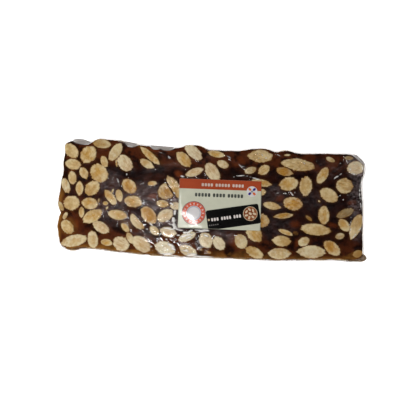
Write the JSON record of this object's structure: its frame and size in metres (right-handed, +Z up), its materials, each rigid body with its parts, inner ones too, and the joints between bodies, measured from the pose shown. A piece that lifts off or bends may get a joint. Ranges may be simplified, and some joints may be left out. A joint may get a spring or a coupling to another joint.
{
  "type": "film wrapped nougat bar",
  "caption": "Flat rectangular bar of dark nougat full of sliced almonds, in tight clear film, with a paper label on its upper face.",
  "frame": {"origin": "middle of the flat underside that the bar lies on", "axes": "+X along the bar, +Y across it away from the viewer who reads the label, +Z up through the label"},
  "size_m": [0.19, 0.0706, 0.0158],
  "materials": {
    "nougat_in_film": "gloss",
    "label_paper": "satin",
    "caramel": "gloss",
    "almond": "matte",
    "clear_film": "gloss",
    "label_ink": "satin"
  },
  "bodies": {
    "root": {"wrapped_bar": "nougat_in_film", "label": "label_paper"}
  },
  "joints": []
}
